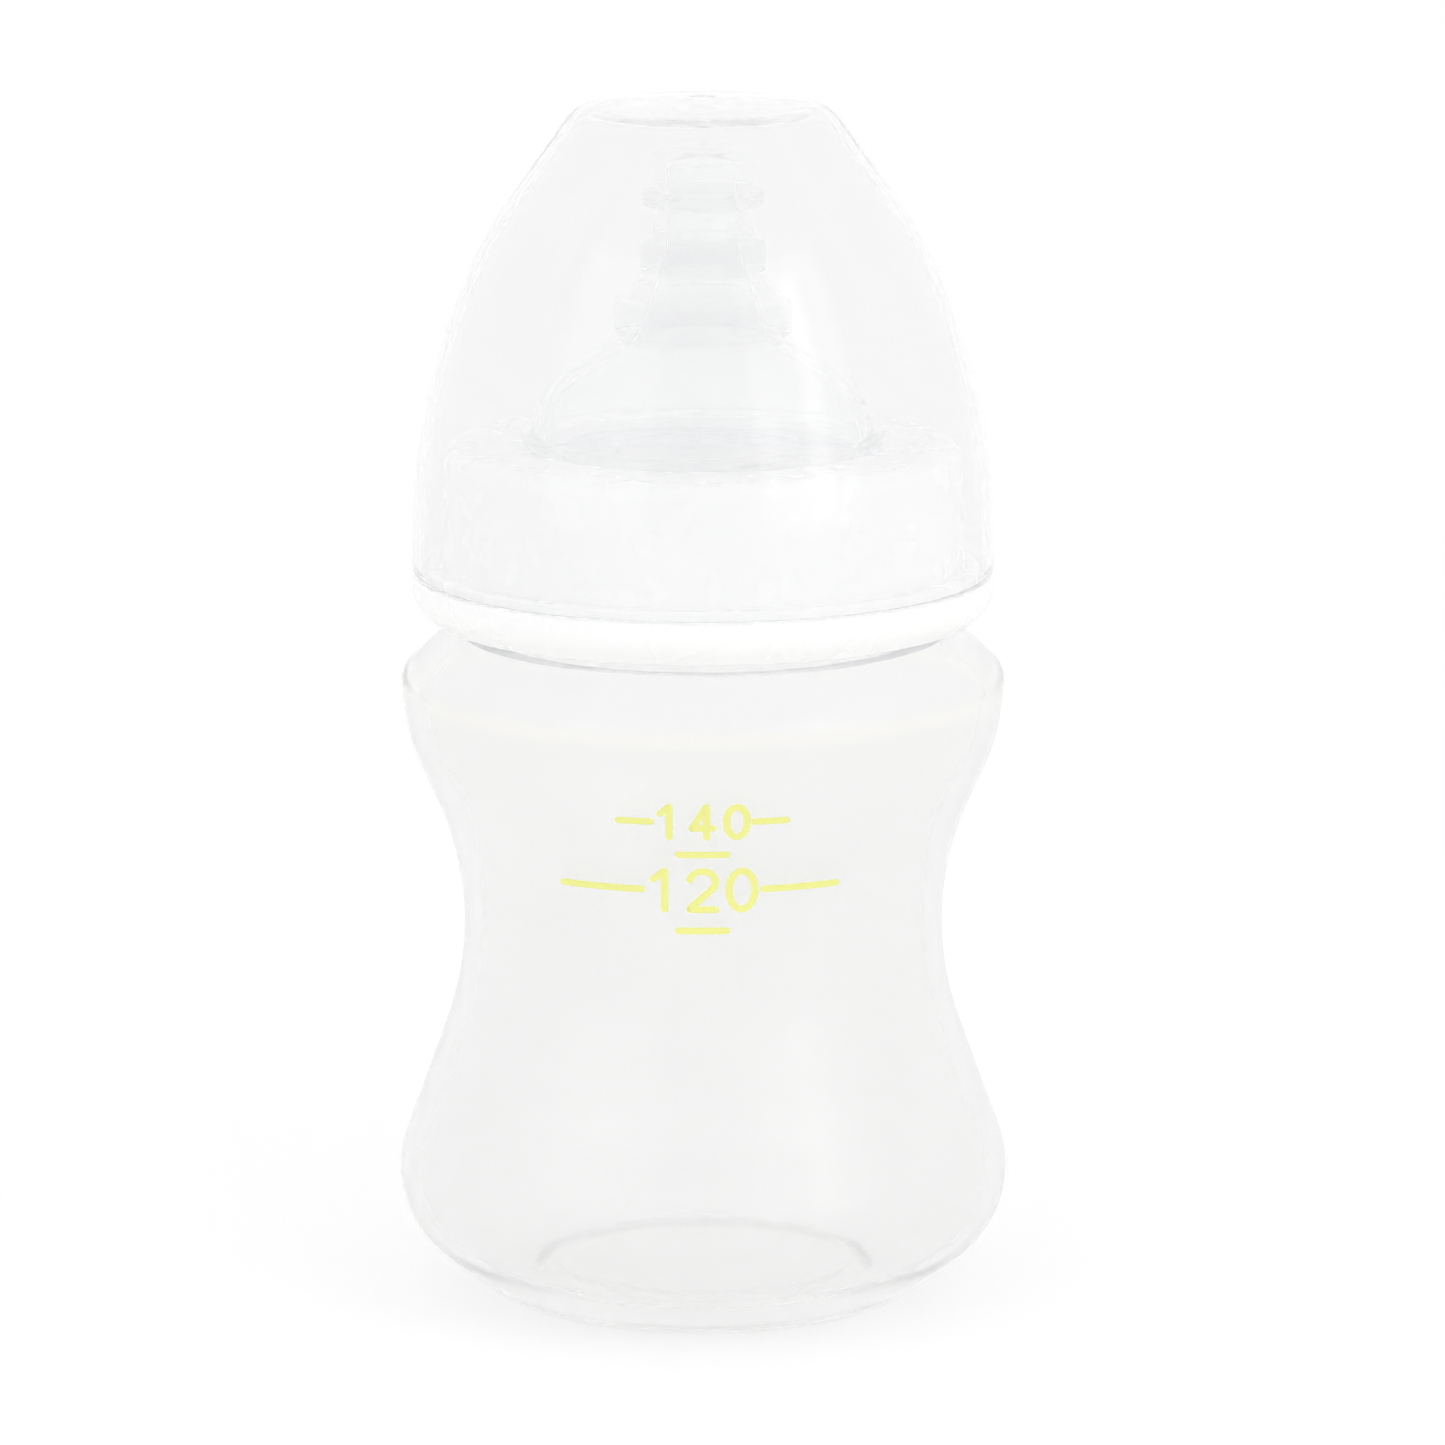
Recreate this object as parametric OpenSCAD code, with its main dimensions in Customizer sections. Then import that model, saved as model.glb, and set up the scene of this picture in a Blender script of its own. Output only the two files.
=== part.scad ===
// Wide-neck baby bottle: bottle, screw collar, teat and dust cap.
// Millimetres. Z is up, the bottle stands on z = 0 and its axis is the Z axis.

/* [Bottle] */
// Radius at which the base would meet the heel's flank
foot_r = 22.9; // [21.5:0.1:25]
// Rounding where the base turns up into the heel
foot_round = 7.0; // [1:0.5:12]
// Radius at which the heel's flank would meet the waist's flank
belly_r = 36.1; // [34.5:0.1:39]
// Height of that meeting
belly_z = 9.5; // [8:0.1:13]
// Rounding of the belly
belly_round = 10.9; // [4:0.1:14]
// Radius at which the two flanks of the waist would meet
waist_r = 23.9; // [22:0.1:27]
// Height of the waist
waist_z = 43.2; // [38:0.2:46]
// Rounding of the waist
waist_round = 34.8; // [12:0.2:38]
// Radius at the lower edge of the shoulder
shoulder_r = 32.7; // [31:0.1:34]
// Height of the lower edge of the shoulder
shoulder_z = 62.8; // [60:0.2:65]
// Rounding of the lower edge of the shoulder
shoulder_round = 20.0; // [4:0.5:24]
// Radius of the shoulder's upper edge
bead_r = 33.5; // [32.5:0.1:36]
// Height of the shoulder's upper edge
bead_z = 70.0; // [68.5:0.2:72]
// Rounding of the shoulder's upper edge
bead_round = 2.6; // [0.8:0.1:4]
// Wall thickness of the bottle
bottle_wall = 1.5; // [1.1:0.1:2]
// Radius of the recess under the base
recess_r = 17.0; // [10:0.2:18]
// Depth of the recess under the base
recess_depth = 1.6; // [0.6:0.1:3]

/* [Neck] */
// Outside radius of the neck, at the root of its thread
neck_r = 25.0; // [24:0.1:26]
// Width of the ledge between the neck and the shoulder
neck_ledge = 2.3; // [1.4:0.1:2.6]
// Height of the ledge at the foot of the neck
neck_z = 75.7; // [75:0.1:78]
// Length of the neck above its ledge
neck_h = 16.6; // [15.5:0.1:20]

/* [Thread] */
// Rise of the thread in one turn
thread_pitch = 4.5; // [4:0.1:5]
// Turns of thread on the neck and in the collar
thread_turns = 1.3; // [0.8:0.1:1.5]
// Height of a thread ridge above its wall
thread_depth = 1.4; // [1:0.1:1.6]
// Width of a ridge where it leaves its wall
thread_root_w = 2.2; // [1.6:0.1:2.4]
// Width of a ridge at its crest
thread_crest_w = 1.0; // [0.6:0.1:1.2]
// Gap from each crest to the wall that it faces
thread_gap = 0.5; // [0.3:0.05:0.7]
// Gap between the two bearing flanks
flank_gap = 0.35; // [0.2:0.05:0.6]

/* [Collar] */
// Wall of the collar's upper cylinder
collar_wall = 2.0; // [1.2:0.1:2.6]
// Inward lean of the collar's side over its height
collar_draft = 0.4; // [0:0.1:0.8]
// Thickness of the ring that holds the teat
collar_top_t = 1.3; // [1:0.1:2]
// Rounding of the collar's upper edge
collar_edge_round = 1.4; // [0.4:0.1:1.8]
// Gap between the collar's lower end and the bottle's ledge
collar_foot_gap = 0.45; // [0.3:0.05:1.2]
// How far the flange stands out from the collar's side
flange_out = 3.2; // [2.6:0.1:4]
// Height of the flange
flange_h = 4.9; // [4.2:0.1:6]
// Rounding of the flange's underside
flange_round = 3.4; // [1:0.1:3.6]
// Height of the ring that centres the cap
spigot_h = 1.0; // [0.6:0.1:2]

/* [Teat] */
// Thickness of the teat's clamped rim
teat_rim_t = 1.6; // [1.2:0.1:2.4]
// Wall thickness of the teat
teat_wall = 1.8; // [1.2:0.1:2.2]
// Radius of the teat where it leaves the collar
teat_base_r = 19.2; // [18:0.1:20.5]
// Height of the teat above the bottle's mouth
teat_h = 36.1; // [34.5:0.1:40]
// Radius of the dome's shoulder
dome_r = 17.5; // [16:0.1:18]
// Height of the dome's shoulder above the bottle's mouth
dome_z = 9.6; // [8:0.1:10.5]
// Rounding of the dome's shoulder
dome_round = 8.0; // [2:0.2:9]
// Radius of the nipple's tip
tip_r = 5.8; // [5.2:0.1:6.5]
// Radius of the feed hole
feed_hole_r = 0.4; // [0.3:0.05:0.6]

/* [Cap] */
// Wall thickness of the cap
cap_wall = 1.2; // [0.9:0.1:1.6]
// Clear height between the teat's tip and the cap
cap_headroom = 4.2; // [4:0.1:8]
// Radius of the corner around the cap's flat top
cap_top_r = 14.0; // [12:0.1:16]
// Rise of the cap's top from that corner to its middle
cap_top_rise = 1.2; // [0.4:0.1:2]

/* [Fits] */
// Gap between two flat faces that rest on each other
seat_gap = 0.1; // [0.05:0.01:0.2]
// Gap around a piece that sits inside another
side_gap = 0.3; // [0.2:0.05:0.4]

/* [Hidden] */

// Largest distance between an arc and the chords drawn for it
arc_error = 0.012;
// Degrees between the stations of a thread ridge
ridge_step = 5;
// Degrees over which a thread ridge rises from its wall
ridge_fade = 30;
// How far a thread ridge reaches into its wall
ridge_sunk = 0.5;
// A length that carries a cut past the face it opens
through = 1;

// Heights of the stack, from the neck up
mouth_z = neck_z + neck_h;
rim_low_z = mouth_z + seat_gap;
rim_high_z = rim_low_z + teat_rim_t;
ceiling_z = rim_high_z + seat_gap;
collar_top_z = ceiling_z + collar_top_t;
collar_low_z = neck_z + collar_foot_gap;
seat_z = collar_low_z + flange_h;
cap_low_z = seat_z + seat_gap;
tip_z = mouth_z + teat_h;
cap_top_z = tip_z + cap_headroom + cap_wall;

// Radii of the pieces that fit around each other
neck_crest_r = neck_r + thread_depth;
collar_in_r = neck_crest_r + thread_gap;
collar_crest_r = collar_in_r - thread_depth;
collar_r = collar_in_r + collar_wall;
flange_r = collar_r + flange_out;
cap_in_r = flange_r - cap_wall;
spigot_r = cap_in_r - side_gap;
teat_rim_r = collar_crest_r - side_gap;
opening_r = teat_base_r + side_gap;
bead_hold = 0.45;

// Axial distance between the two ridges, flank to flank
ridge_overlap = neck_crest_r - collar_crest_r;
ridge_slope = (thread_root_w - thread_crest_w) / thread_depth;
ridge_pair_w = thread_crest_w + thread_crest_w + ridge_slope * (thread_depth - ridge_overlap);
ridge_offset = (ridge_pair_w + ridge_slope * ridge_overlap) / 2 + flank_gap;
// Height of the neck ridge's middle at its lower end, above the ledge
ridge_start = 6.6;

// ---------- outlines ----------

function unit(v) = v / norm(v);

function flat(p) = [p[0], p[1]];

// Half the angle inside corner b, between the stretches to a and to c
function half_corner(a, b, c) =
    acos(max(-1, min(1, unit(flat(a) - flat(b)) * unit(flat(c) - flat(b))))) / 2;

// Distance from each corner to where its rounding starts
function reaches(p) =
    [for (i = [0 : len(p) - 1])
        i == 0 || i == len(p) - 1 ? 0 : p[i][2] / tan(half_corner(p[i - 1], p[i], p[i + 1]))];

// The share of a stretch that a rounding may take when the next one wants the rest
function fair_reach(t, other, stretch) = t + other > stretch ? stretch * t / (t + other) : t;

// The arc at corner b that starts t away from it. A corner is [r, z, rounding].
function corner_arc(a, b, c, t) =
    let (
        pb = flat(b),
        u = unit(flat(a) - pb),
        v = unit(flat(c) - pb),
        half = half_corner(a, b, c),
        rad = t * tan(half),
        mid = pb + unit(u + v) * rad / sin(half),
        p0 = pb + u * t,
        p1 = pb + v * t,
        a0 = atan2(p0[1] - mid[1], p0[0] - mid[0]),
        a1 = atan2(p1[1] - mid[1], p1[0] - mid[0]),
        turn = a1 - a0 > 180 ? a1 - a0 - 360 : (a1 - a0 < -180 ? a1 - a0 + 360 : a1 - a0),
        step = 2 * acos(1 - min(0.5, arc_error / rad)),
        n = max(3, ceil(abs(turn) / step))
    )
    [for (k = [0 : n]) mid + rad * [cos(a0 + turn * k / n), sin(a0 + turn * k / n)]];

// An open path with its inner corners rounded
function rounded(p) =
    let (
        last = len(p) - 1,
        t = reaches(p),
        fair = [for (i = [0 : last])
            i == 0 || i == last ? 0 : min(
                fair_reach(t[i], t[i - 1], norm(flat(p[i]) - flat(p[i - 1]))),
                fair_reach(t[i], t[i + 1], norm(flat(p[i + 1]) - flat(p[i])))
            )]
    )
    [for (i = [0 : last])
        each fair[i] < 0.01 ? [flat(p[i])] : corner_arc(p[i - 1], p[i], p[i + 1], fair[i])];

// Left-hand normal of the stretch from a to b
function side_normal(a, b) =
    let (d = unit([b[0] - a[0], b[1] - a[1]]))
    [-d[1], d[0]];

// Corner b moved d to the left of the path, with its rounding kept concentric
function moved_corner(a, b, c, d) =
    let (
        n0 = side_normal(a, b),
        n1 = side_normal(b, c),
        s = d / (1 + n0 * n1),
        bend = (b[0] - a[0]) * (c[1] - b[1]) - (b[1] - a[1]) * (c[0] - b[0]),
        rad = bend > 0 ? max(0.2, b[2] - d) : b[2] + d
    )
    [b[0] + s * (n0[0] + n1[0]), b[1] + s * (n0[1] + n1[1]), rad];

// The inner corners of a path, moved d to its left
function moved_path(p, d) =
    [for (i = [1 : len(p) - 2]) moved_corner(p[i - 1], p[i], p[i + 1], d)];

function reversed(p) = [for (i = [len(p) - 1 : -1 : 0]) p[i]];

// A closed outline turned about the Z axis
module turned(outline) {
    rotate_extrude($fn = 180)
        polygon(outline);
}

// ---------- thread ridges ----------

// 1 along a ridge and falling to 0 at both of its ends
function fade(a, total) = max(0, min(1, a / ridge_fade, (total - a) / ridge_fade));

// The four corners of a ridge at angle a: wall side low, crest low, crest high, wall side high
function ridge_station(a, total, wall_r, out, z0) =
    let (
        f = fade(a, total),
        reach = out * (f * thread_depth - (1 - f) * 0.15),
        sunk_r = wall_r - out * ridge_sunk,
        crest_r = wall_r + reach,
        z = z0 + thread_pitch * a / 360,
        root_w = thread_root_w + ridge_slope * ridge_sunk,
        crest_w = thread_root_w - ridge_slope * abs(reach) * f
    )
    [
        [sunk_r * cos(a), sunk_r * sin(a), z - root_w / 2],
        [crest_r * cos(a), crest_r * sin(a), z - crest_w / 2],
        [crest_r * cos(a), crest_r * sin(a), z + crest_w / 2],
        [sunk_r * cos(a), sunk_r * sin(a), z + root_w / 2]
    ];

// A right-hand ridge on a wall. out is 1 for an outside thread and -1 for an inside one.
module thread_ridge(wall_r, out, z0) {
    total = 360 * thread_turns;
    n = ceil(total / ridge_step);
    pts = [for (k = [0 : n]) each ridge_station(total * k / n, total, wall_r, out, z0)];
    sides = [for (k = [0 : n - 1], j = [0 : 3])
        each [
            [4 * k + j, 4 * k + (j + 1) % 4, 4 * k + 4 + j],
            [4 * k + (j + 1) % 4, 4 * k + 4 + (j + 1) % 4, 4 * k + 4 + j]
        ]];
    ends = [[3, 2, 1, 0], [4 * n, 4 * n + 1, 4 * n + 2, 4 * n + 3]];
    faces = concat(sides, ends);
    polyhedron(pts, out > 0 ? faces : [for (f = faces) reversed(f)]);
}

// ---------- bottle ----------

function bottle_corners() = [
    [0, recess_depth + 0.4, 0],
    [recess_r, recess_depth, 1.0],
    [recess_r + recess_depth, 0, 0.6],
    [foot_r, 0, foot_round],
    [belly_r, belly_z, belly_round],
    [waist_r, waist_z, waist_round],
    [shoulder_r, shoulder_z, shoulder_round],
    [bead_r, bead_z, bead_round],
    [neck_r + neck_ledge, neck_z, 0.8],
    [neck_r, neck_z, 0.5],
    [neck_r, mouth_z, 0.4],
    [neck_r - bottle_wall, mouth_z, 0.4],
    [neck_r - bottle_wall, mouth_z - 1.5, 0]
];

// The corners up to the foot of the neck, which the inside follows
function bottle_shell_corners() = [for (i = [0 : 10]) bottle_corners()[i]];

module bottle_shell() {
    outer = bottle_corners();
    inner = moved_path(bottle_shell_corners(), bottle_wall);
    floor_z = recess_depth + 0.4 + bottle_wall;
    inside = concat([[0, floor_z, 0]], inner, [[neck_r - bottle_wall, mouth_z - 2, 0]]);
    turned(concat(rounded(outer), reversed(rounded(inside))));
}

module bottle() {
    color([0.93, 0.94, 0.95, 0.6])
        union() {
            bottle_shell();
            thread_ridge(neck_r, 1, neck_z + ridge_start);
        }
}

// ---------- screw collar ----------

function collar_corners() = [
    [collar_in_r, collar_low_z, 0],
    [flange_r - 2.0, collar_low_z, 0.7],
    [flange_r, collar_low_z + 2.2, flange_round],
    [flange_r, seat_z, 0.3],
    [spigot_r, seat_z, 0],
    [spigot_r, seat_z + spigot_h, 0.4],
    [collar_r, seat_z + spigot_h, 0.3],
    [collar_r - collar_draft, collar_top_z, collar_edge_round],
    [opening_r, collar_top_z, 0.4],
    [opening_r, ceiling_z, 0],
    [collar_in_r, ceiling_z, 0.5],
    [collar_in_r, collar_low_z + 0.6, 0]
];

module screw_collar() {
    color([0.97, 0.97, 0.98])
        union() {
            turned(rounded(collar_corners()));
            thread_ridge(collar_in_r, -1, neck_z + ridge_start - ridge_offset);
        }
}

// ---------- teat ----------

// Radii of the nipple, its throat and the three rings
nipple_r = tip_r - 0.45;
throat_r = tip_r - 0.9;
ring_a_r = tip_r + 0.85;
ring_b_r = tip_r + 1.05;
ring_c_r = tip_r + 3.95;
// Radii of the wall under the second and third rings
root_b_r = tip_r - 0.1;
root_c_r = tip_r + 2.7;

// The teat's wall without its rings, from the collar up to the tip
function teat_core() = [
    [teat_base_r, rim_low_z, 0],
    [teat_base_r, collar_top_z + 0.6, 1.0],
    [dome_r, mouth_z + dome_z, dome_round],
    [root_c_r, tip_z - 20.6, 2.0],
    [root_b_r, tip_z - 11.5, 2.0],
    [throat_r, tip_z - 6.8, 0.4],
    [nipple_r, tip_z - 4.8, 0.4],
    [tip_r, tip_z - 0.6, 1.2],
    [0, tip_z, 0]
];

// The outside with its rings. bead is the edge that keeps the teat in the collar.
function teat_corners() =
    let (
        core = teat_core(),
        bead_r = opening_r + bead_hold,
        bead_low = collar_top_z + seat_gap
    )
    [
        [teat_base_r - teat_wall, rim_low_z, 0],
        [teat_rim_r, rim_low_z, 0.4],
        [teat_rim_r, rim_high_z, 0.4],
        [teat_base_r, rim_high_z, 0.2],
        [teat_base_r, bead_low, 0],
        [bead_r, bead_low, 0.2],
        [bead_r, bead_low + 0.9, 0.4],
        [teat_base_r - 0.2, bead_low + 1.1, 0.4],
        core[2],
        [root_c_r, tip_z - 20.9, 0.5],
        [ring_c_r, tip_z - 20.9, 1.1],
        [ring_c_r, tip_z - 17.0, 0.7],
        [tip_r + 2.6, tip_z - 16.8, 0.3],
        [tip_r + 0.6, tip_z - 14.0, 0.3],
        [ring_b_r, tip_z - 13.9, 0.5],
        [ring_b_r, tip_z - 10.5, 0.6],
        [root_b_r, tip_z - 10.4, 0.3],
        core[5],
        [ring_a_r, tip_z - 6.7, 0.5],
        [ring_a_r, tip_z - 4.9, 0.5],
        core[6],
        core[7],
        core[8]
    ];

function teat_inside() =
    let (core = teat_core())
    concat(
        [[teat_base_r - teat_wall, rim_low_z, 0]],
        moved_path([for (i = [0 : len(core) - 1]) if (i < 5 || i > 5) core[i]], teat_wall),
        [[0, tip_z - teat_wall, 0]]
    );

vent_turn = -118;
vent_z = 4.6;
vent_r = 1.1;
vent_hole_r = 0.35;

// The small valve boss low on the dome
module vent_boss() {
    rotate([0, 0, vent_turn])
        translate([teat_base_r - teat_wall / 2, 0, mouth_z + vent_z])
            rotate([0, 90, 0])
                cylinder(r = vent_r, h = teat_wall / 2 + 0.1, $fn = 48);
}

module vent_hole() {
    rotate([0, 0, vent_turn])
        translate([teat_base_r - 2 * teat_wall, 0, mouth_z + vent_z])
            rotate([0, 90, 0])
                cylinder(r = vent_hole_r, h = 3 * teat_wall, $fn = 32);
}

module teat() {
    color([0.85, 0.88, 0.92, 0.7])
        difference() {
            union() {
                turned(concat(rounded(teat_corners()), reversed(rounded(teat_inside()))));
                vent_boss();
            }
            translate([0, 0, tip_z - teat_wall - through])
                cylinder(r = feed_hole_r, h = teat_wall + 2 * through, $fn = 32);
            vent_hole();
        }
}

// ---------- dust cap ----------

cap_side_h = 13.2;
cap_side_round = 65;
cap_arch_r = 25.9;
cap_arch_drop = 18.0;
cap_arch_round = 52;
cap_edge_round = 4;
cap_rim_round = 0.3;
gate_r = 1.7;
gate_depth = 0.3;
gate_nub_r = 0.55;

function cap_corners() = [
    [flange_r, cap_low_z, 0],
    [flange_r, cap_low_z + cap_side_h, cap_side_round],
    [cap_arch_r, cap_top_z - cap_arch_drop, cap_arch_round],
    [cap_top_r, cap_top_z - cap_top_rise, cap_edge_round],
    [0, cap_top_z, 0]
];

module cap_shell() {
    corners = cap_corners();
    rim = [flange_r - cap_wall / 2, cap_low_z, 0];
    outside = concat(
        [rim, [flange_r, cap_low_z, cap_rim_round]],
        [for (i = [1 : len(corners) - 1]) corners[i]]
    );
    inside = concat(
        [rim, [cap_in_r, cap_low_z, cap_rim_round]],
        moved_path(corners, cap_wall),
        [[0, cap_top_z - cap_wall, 0]]
    );
    inner = rounded(inside);
    turned(concat(rounded(outside), reversed([for (i = [1 : len(inner) - 1]) inner[i]])));
}

module gate_mark() {
    translate([0, 0, cap_top_z - gate_depth])
        difference() {
            cylinder(r = gate_r, h = gate_depth + through, $fn = 48);
            translate([0, 0, -through])
                cylinder(r = gate_nub_r, h = gate_depth / 2 + through, $fn = 32);
        }
}

module dust_cap() {
    color([0.9, 0.93, 0.96, 0.35])
        difference() {
            cap_shell();
            gate_mark();
        }
}

bottle();
screw_collar();
teat();
dust_cap();
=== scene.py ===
import math

import bpy
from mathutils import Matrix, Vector


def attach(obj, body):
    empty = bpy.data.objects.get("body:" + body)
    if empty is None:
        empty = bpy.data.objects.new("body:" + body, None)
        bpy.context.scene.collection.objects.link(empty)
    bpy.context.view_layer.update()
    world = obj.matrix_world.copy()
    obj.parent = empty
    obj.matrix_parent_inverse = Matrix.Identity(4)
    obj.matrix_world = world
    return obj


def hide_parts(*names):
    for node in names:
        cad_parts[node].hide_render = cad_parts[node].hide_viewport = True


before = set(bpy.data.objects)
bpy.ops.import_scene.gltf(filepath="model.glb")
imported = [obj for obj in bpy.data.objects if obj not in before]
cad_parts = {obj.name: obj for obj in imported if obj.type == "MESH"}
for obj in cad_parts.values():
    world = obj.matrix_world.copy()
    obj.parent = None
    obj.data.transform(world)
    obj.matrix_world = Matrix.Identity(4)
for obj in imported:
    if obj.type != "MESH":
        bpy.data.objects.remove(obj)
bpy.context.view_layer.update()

# ---------- sizes, in millimetres, as in the part ----------

MM = 0.001
TURNS = 192          # stations around a turned piece
ARC_ERROR = 0.004    # distance between an arc and its chords
FINE = 0.12          # length of the steps along an outline that carries a thread
CREASE = 38          # degrees between two faces that meet in a sharp edge

FOOT_R, FOOT_ROUND = 22.9, 7.0
BELLY_R, BELLY_Z, BELLY_ROUND = 36.1, 9.5, 10.9
WAIST_R, WAIST_Z, WAIST_ROUND = 23.9, 43.2, 34.8
SHOULDER_R, SHOULDER_Z, SHOULDER_ROUND = 32.7, 62.8, 20.0
BEAD_R, BEAD_Z, BEAD_ROUND = 33.5, 70.0, 2.6
BOTTLE_WALL = 1.5
RECESS_R, RECESS_DEPTH = 17.0, 1.6
RECESS_RISE = 0.4    # of the base's middle above the recess's edge
NECK_R = 25.0
NECK_LEDGE = 2.3
NECK_Z = 75.7
MOUTH_Z = NECK_Z + 16.6
NIB_TURN, NIB_Z = -87.8, 70.9          # degrees around the axis, and height
NIB_H, NIB_SPREAD = 0.25, 0.35
PITCH = 4.5
THREAD_TURNS = 1.3
THREAD_DEPTH = 1.4
ROOT_W = 2.2
CREST_W = 1.0
RIDGE_START = 6.6
RIDGE_OFFSET = 1.95
RIDGE_FADE = 30.0

SEAT_GAP = 0.1       # between flat faces that rest on each other
SIDE_GAP = 0.3       # around a piece that sits inside another
THREAD_GAP = 0.5

NECK_THREAD = (80.5, 90.0)           # heights that hold the neck's thread
NECK_THREAD_FINE = (80.8, 89.8)      # and where its outline has short steps
COLLAR_THREAD = (78.5, 88.5)         # the same for the collar's own thread
COLLAR_THREAD_FINE = (78.8, 88.0)
NIB_ZONE = (69.0, 72.5)              # heights that hold the nib
NIB_FINE = (69.6, 72.2)

COLLAR_IN_R = NECK_R + THREAD_DEPTH + THREAD_GAP
COLLAR_R = COLLAR_IN_R + 2.0
COLLAR_DRAFT = 0.4
COLLAR_LOW_Z = NECK_Z + 0.45
FLANGE_R = COLLAR_R + 3.2
FLANGE_FOOT = 2.0    # how far in the flange's lower face ends
FLANGE_ROUND = 3.4
SEAT_Z = COLLAR_LOW_Z + 4.9
SPIGOT_H = 1.0
RIM_LOW_Z = MOUTH_Z + SEAT_GAP
RIM_HIGH_Z = RIM_LOW_Z + 1.6
CEILING_Z = RIM_HIGH_Z + SEAT_GAP
COLLAR_TOP_Z = CEILING_Z + 1.3

TEAT_BASE_R = 19.2
TEAT_WALL = 1.8
TEAT_RIM_R = COLLAR_IN_R - THREAD_DEPTH - SIDE_GAP
OPENING_R = TEAT_BASE_R + SIDE_GAP
LIP_OUT = 0.45       # of the lip that holds the teat in the collar's opening
DOME_R, DOME_Z, DOME_ROUND = 17.5, MOUTH_Z + 9.6, 8.0
TIP_R = 5.8
TIP_Z = MOUTH_Z + 36.1
FEED_R = 0.4
VENT_TURN = -118.0
VENT_Z = MOUTH_Z + 4.6
BOSS_H, BOSS_R, BOSS_EDGE = 0.35, 1.0, 0.12
DIMPLE_H, DIMPLE_R = 0.5, 0.32

CAP_WALL = 1.2
CAP_LOW_Z = SEAT_Z + SEAT_GAP
CAP_TOP_Z = TIP_Z + 4.2 + CAP_WALL
CAP_TOP_R, CAP_TOP_RISE = 14.0, 1.2
CAP_IN_R = FLANGE_R - CAP_WALL
SPIGOT_R = CAP_IN_R - SIDE_GAP
GATE_R, GATE_DEPTH = 1.7, 0.3
NUB_R, NUB_DEPTH = 0.55, 0.15

# ---------- outlines ----------


def unit(a, b):
    """Unit vector from a to b in an outline's plane."""
    x, z = b[0] - a[0], b[1] - a[1]
    n = math.hypot(x, z)
    return x / n, z / n


def half_corner(a, b, c):
    """Half the angle between the two sides of corner b."""
    u, v = unit(b, a), unit(b, c)
    return math.acos(max(-1.0, min(1.0, u[0] * v[0] + u[1] * v[1]))) / 2


def span(a, b):
    """Distance between two points of an outline."""
    return math.hypot(a[0] - b[0], a[1] - b[1])


def fair(t, other, stretch):
    """t, cut down where the roundings at both ends of a stretch need more than its length."""
    return stretch * t / (t + other) if t + other > stretch else t


def corner_arc(a, b, c, t):
    """The arc at corner b that starts t away from it."""
    u, v = unit(b, a), unit(b, c)
    half = half_corner(a, b, c)
    rad = t * math.tan(half)
    m = unit((0, 0), (u[0] + v[0], u[1] + v[1]))
    mid = (b[0] + m[0] * rad / math.sin(half), b[1] + m[1] * rad / math.sin(half))
    a0 = math.atan2(b[1] + u[1] * t - mid[1], b[0] + u[0] * t - mid[0])
    a1 = math.atan2(b[1] + v[1] * t - mid[1], b[0] + v[0] * t - mid[0])
    turn = (a1 - a0 + math.pi) % (2 * math.pi) - math.pi
    step = 2 * math.acos(1 - min(0.5, ARC_ERROR / rad))
    n = max(4, math.ceil(abs(turn) / step))
    return [(mid[0] + rad * math.cos(a0 + turn * k / n),
             mid[1] + rad * math.sin(a0 + turn * k / n)) for k in range(n + 1)]


def rounded(p):
    """An open path of (r, z, rounding) with its inner corners rounded, and no point twice."""
    last = len(p) - 1
    reach = [0.0 if i in (0, last) else p[i][2] / math.tan(half_corner(p[i - 1], p[i], p[i + 1]))
             for i in range(last + 1)]
    out = []
    for i in range(last + 1):
        t = 0.0 if i in (0, last) else min(
            fair(reach[i], reach[i - 1], span(p[i], p[i - 1])),
            fair(reach[i], reach[i + 1], span(p[i], p[i + 1])))
        out += [(p[i][0], p[i][1])] if t < 0.01 else corner_arc(p[i - 1], p[i], p[i + 1], t)
    return [q for i, q in enumerate(out) if i == 0 or span(q, out[i - 1]) > 1e-5]


def moved(a, b, c, d):
    """Corner b moved d to the left of the path, with its rounding kept concentric."""
    u, v = unit(a, b), unit(b, c)
    n0, n1 = (-u[1], u[0]), (-v[1], v[0])
    s = d / (1 + n0[0] * n1[0] + n0[1] * n1[1])
    bend = u[0] * v[1] - u[1] * v[0]
    rad = max(0.2, b[2] - d) if bend > 0 else b[2] + d
    return (b[0] + s * (n0[0] + n1[0]), b[1] + s * (n0[1] + n1[1]), rad)


def moved_path(p, d):
    """A path's inner corners, each moved d to its left."""
    return [moved(p[i - 1], p[i], p[i + 1], d) for i in range(1, len(p) - 1)]


def finer(points, low, high, step):
    """The same path with its stretches between two heights cut into short ones."""
    out = [points[0]]
    for a, b in zip(points, points[1:]):
        inside = min(a[1], b[1]) < high and max(a[1], b[1]) > low and abs(a[1] - b[1]) > step
        n = math.ceil(span(a, b) / step) if inside else 1
        out += [(a[0] + (b[0] - a[0]) * k / n, a[1] + (b[1] - a[1]) * k / n)
                for k in range(1, n + 1)]
    return out


# ---------- turned meshes ----------


def stations(extra=None):
    """Angles in degrees around a turned piece, closer together around the angle extra."""
    angles = [360 * k / TURNS - 180 for k in range(TURNS)]
    if extra is not None:
        angles = [a for a in angles if abs(a - extra) > 5]
        angles += [extra + 0.25 * k for k in range(-20, 21)]
    return sorted(angles)


def mesh_piece(name, verts, faces, body):
    mesh = bpy.data.meshes.new(name)
    mesh.from_pydata([(x * MM, y * MM, z * MM) for x, y, z in verts], [], faces)
    mesh.validate()
    mesh.shade_smooth()
    mesh.set_sharp_from_angle(angle=math.radians(CREASE))
    piece = bpy.data.objects.new(name, mesh)
    bpy.context.scene.collection.objects.link(piece)
    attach(piece, body)
    return piece


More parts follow.
